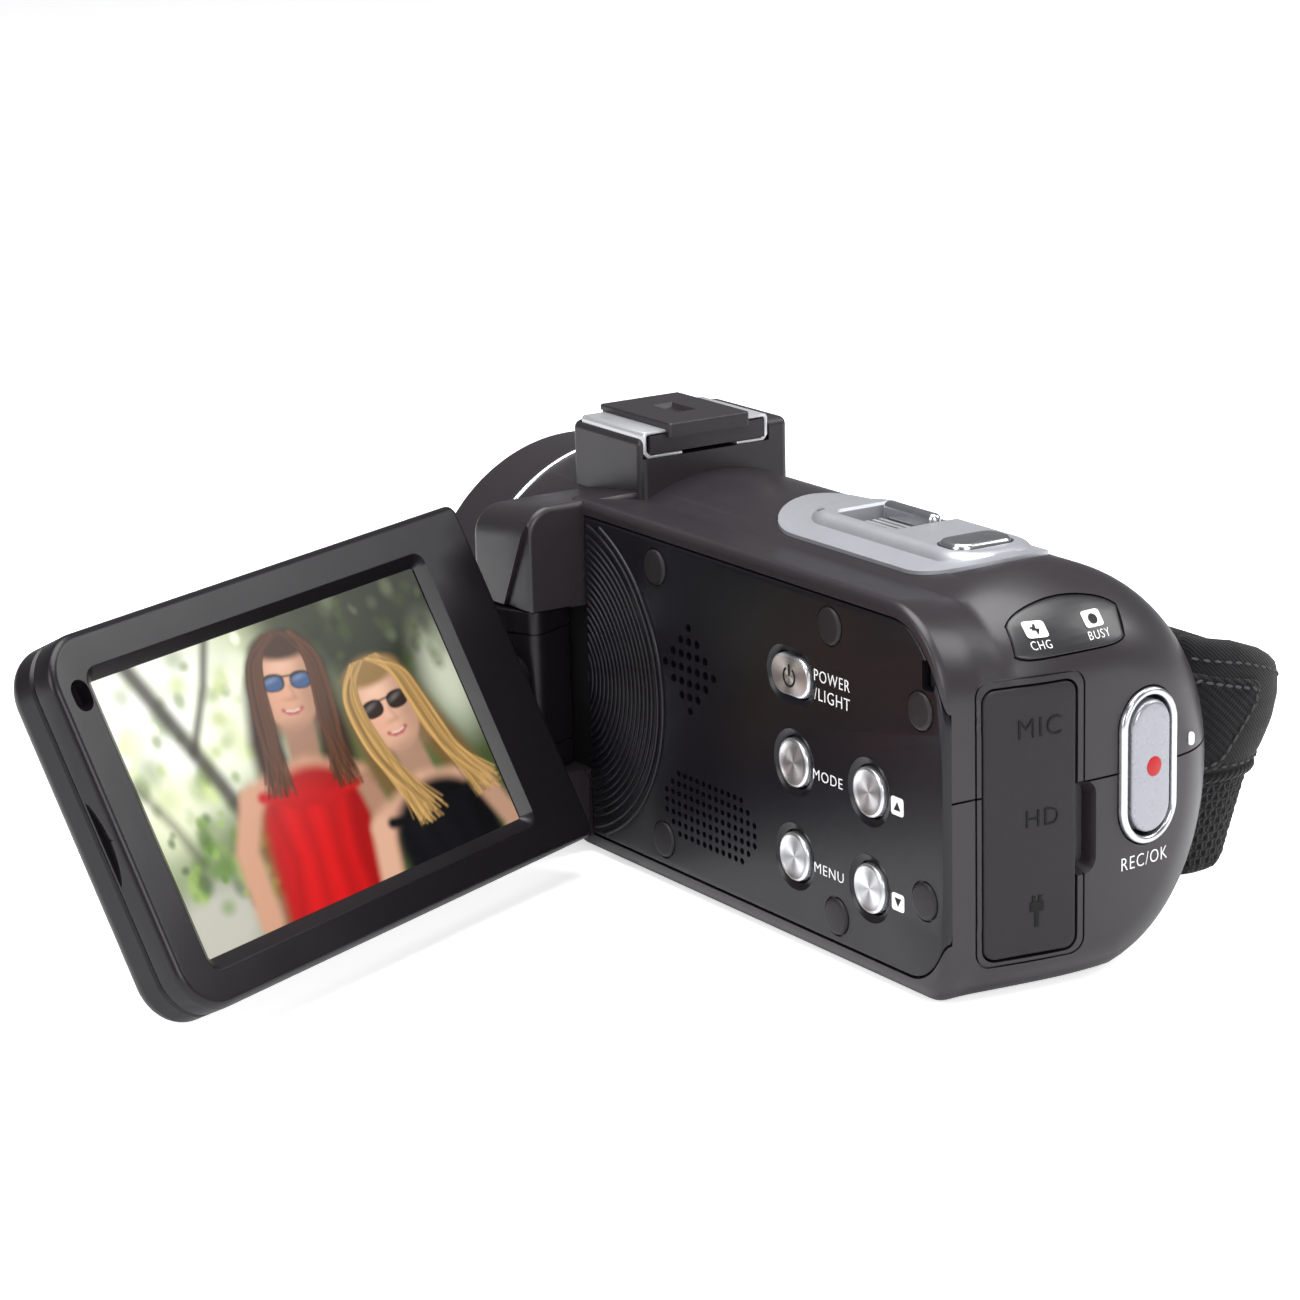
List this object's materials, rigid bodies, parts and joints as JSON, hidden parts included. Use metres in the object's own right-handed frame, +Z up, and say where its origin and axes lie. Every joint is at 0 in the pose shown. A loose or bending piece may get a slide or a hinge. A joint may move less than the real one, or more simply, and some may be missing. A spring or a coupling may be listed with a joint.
{
  "type": "camcorder",
  "caption": "Hand-held camcorder with a round lens tube, a fold-out tilting screen, an accessory shoe, top and rear buttons, side keys and a padded hand strap.",
  "frame": {"origin": "on the flat base, directly below the lens axis and halfway along the body", "axes": "+Z up; the lens looks along -Y and +Y is the rear; +X is the side the screen opens on and -X is the hand-strap side"},
  "size_m": [0.1639, 0.1245, 0.061],
  "materials": {
    "body": "satin dark charcoal moulded plastic",
    "panel": "semi-gloss near-black panel with white markings",
    "glass_dark": "clear smoked window over the indicator lamps",
    "lens_glass": "coated optical glass",
    "rubber": "matt black rubber",
    "silver": "satin silver painted plastic",
    "steel": "brushed metal",
    "chrome": "polished bright trim",
    "button": "black key with a turned metallic ring finish",
    "red": "red printed dot",
    "board": "green circuit board",
    "brass": "plain brass insert",
    "fabric": "black padded woven fabric and spacer mesh",
    "screen": "glossy colour display showing a plain outdoor picture"
  },
  "bodies": {
    "camera_body": {"upper_casing": "body", "lower_casing": "body", "side_panel": "panel", "indicator_window": "glass_dark", "port_board": "board", "mic_jack": "steel", "hd_socket": "steel", "usb_socket": "steel", "top_plate": "silver", "bumper_1": "rubber", "bumper_2": "rubber", "bumper_3": "rubber", "bumper_4": "rubber", "bumper_5": "rubber", "bumper_6": "rubber", "record_bezel": "chrome", "shoe_base": "body", "shoe_rail_left": "steel", "shoe_rail_right": "steel", "lens_hood": "body", "chrome_ring": "chrome", "lens_trim": "body", "front_glass": "lens_glass", "lens_barrel": "body", "rear_lens": "lens_glass", "sensor_board": "board", "main_board": "board", "speaker": "body", "microphone": "body", "battery": "body", "tripod_socket": "brass", "hinge_pin": "steel", "strap_pad": "fabric", "strap_lug_rear": "body", "strap_lug_front": "body", "strap_tab_rear": "fabric", "strap_tab_front": "fabric"},
    "lcd_arm": {"hinge_arm": "body"},
    "lcd_tilt_block": {"tilt_barrel": "body"},
    "lcd_panel": {"lcd_back_shell": "body", "lcd_bezel": "body", "display": "screen", "lcd_board": "board"},
    "zoom_rocker": {"zoom_lever": "chrome"},
    "photo_key": {"photo_button": "chrome"},
    "mode_key": {"mode_button": "button"},
    "menu_key": {"menu_button": "button"},
    "up_key": {"up_button": "button"},
    "down_key": {"down_button": "button"},
    "power_key": {"power_button": "button"},
    "record_key": {"record_button": "silver", "record_mark": "red"},
    "shoe_cover_slide": {"shoe_cover": "body"},
    "port_flap": {"port_cover": "rubber"},
    "battery_flap": {"battery_door": "body"}
  },
  "joints": [
    {"name": "lcd_open", "type": "hinge", "parent": "camera_body", "child": "lcd_arm", "pos_m": [0.0268, -0.0293, 0.02665], "axis": [0, 0, -1], "range_deg": [-66.7, 23.3]},
    {"name": "lcd_level", "type": "hinge", "parent": "lcd_arm", "child": "lcd_tilt_block", "pos_m": [0.0268, -0.0293, 0.02665], "axis": [0.9184, 0.3955, 0], "range_deg": [-26.8, 9.4]},
    {"name": "lcd_tilt", "type": "hinge", "parent": "lcd_tilt_block", "child": "lcd_panel", "pos_m": [0.0268, -0.0293, 0.02665], "axis": [0.9184, 0.3955, 0], "range_deg": [0, 144]},
    {"name": "zoom_turn", "type": "hinge", "parent": "camera_body", "child": "zoom_rocker", "pos_m": [0, 0.0191, 0.026], "axis": [0, 1, 0], "range_deg": [-5, 5], "stiffness_Nm_per_rad": 0.06},
    {"name": "photo_press", "type": "slide", "parent": "camera_body", "child": "photo_key", "axis": [0, 0, -1], "range_m": [0, 0.0006], "stiffness_N_per_m": 250},
    {"name": "mode_press", "type": "slide", "parent": "camera_body", "child": "mode_key", "axis": [-1, 0, 0], "range_m": [0, 0.0006], "stiffness_N_per_m": 250},
    {"name": "menu_press", "type": "slide", "parent": "camera_body", "child": "menu_key", "axis": [-1, 0, 0], "range_m": [0, 0.0006], "stiffness_N_per_m": 250},
    {"name": "up_press", "type": "slide", "parent": "camera_body", "child": "up_key", "axis": [-1, 0, 0], "range_m": [0, 0.0006], "stiffness_N_per_m": 250},
    {"name": "down_press", "type": "slide", "parent": "camera_body", "child": "down_key", "axis": [-1, 0, 0], "range_m": [0, 0.0006], "stiffness_N_per_m": 250},
    {"name": "power_press", "type": "slide", "parent": "camera_body", "child": "power_key", "axis": [-1, 0, 0], "range_m": [0, 0.0006], "stiffness_N_per_m": 250},
    {"name": "record_press", "type": "slide", "parent": "camera_body", "child": "record_key", "axis": [0.1222, -0.9925, 0], "range_m": [0, 0.0008], "stiffness_N_per_m": 250},
    {"name": "shoe_cover_slide", "type": "slide", "parent": "camera_body", "child": "shoe_cover_slide", "axis": [0, 1, 0], "range_m": [0, 0.02]},
    {"name": "port_cover_open", "type": "hinge", "parent": "camera_body", "child": "port_flap", "pos_m": [0.0162, 0.0597, 0.0231], "axis": [0, 0, -1], "range_deg": [0, 100]},
    {"name": "battery_door_open", "type": "hinge", "parent": "camera_body", "child": "battery_flap", "pos_m": [0.00625, 0.0123, 0.0003], "axis": [-1, 0, 0], "range_deg": [0, 80]}
  ],
  "couplings": [
    {"joint": "lcd_level", "follows": "lcd_open", "ratio": 0.4}
  ]
}
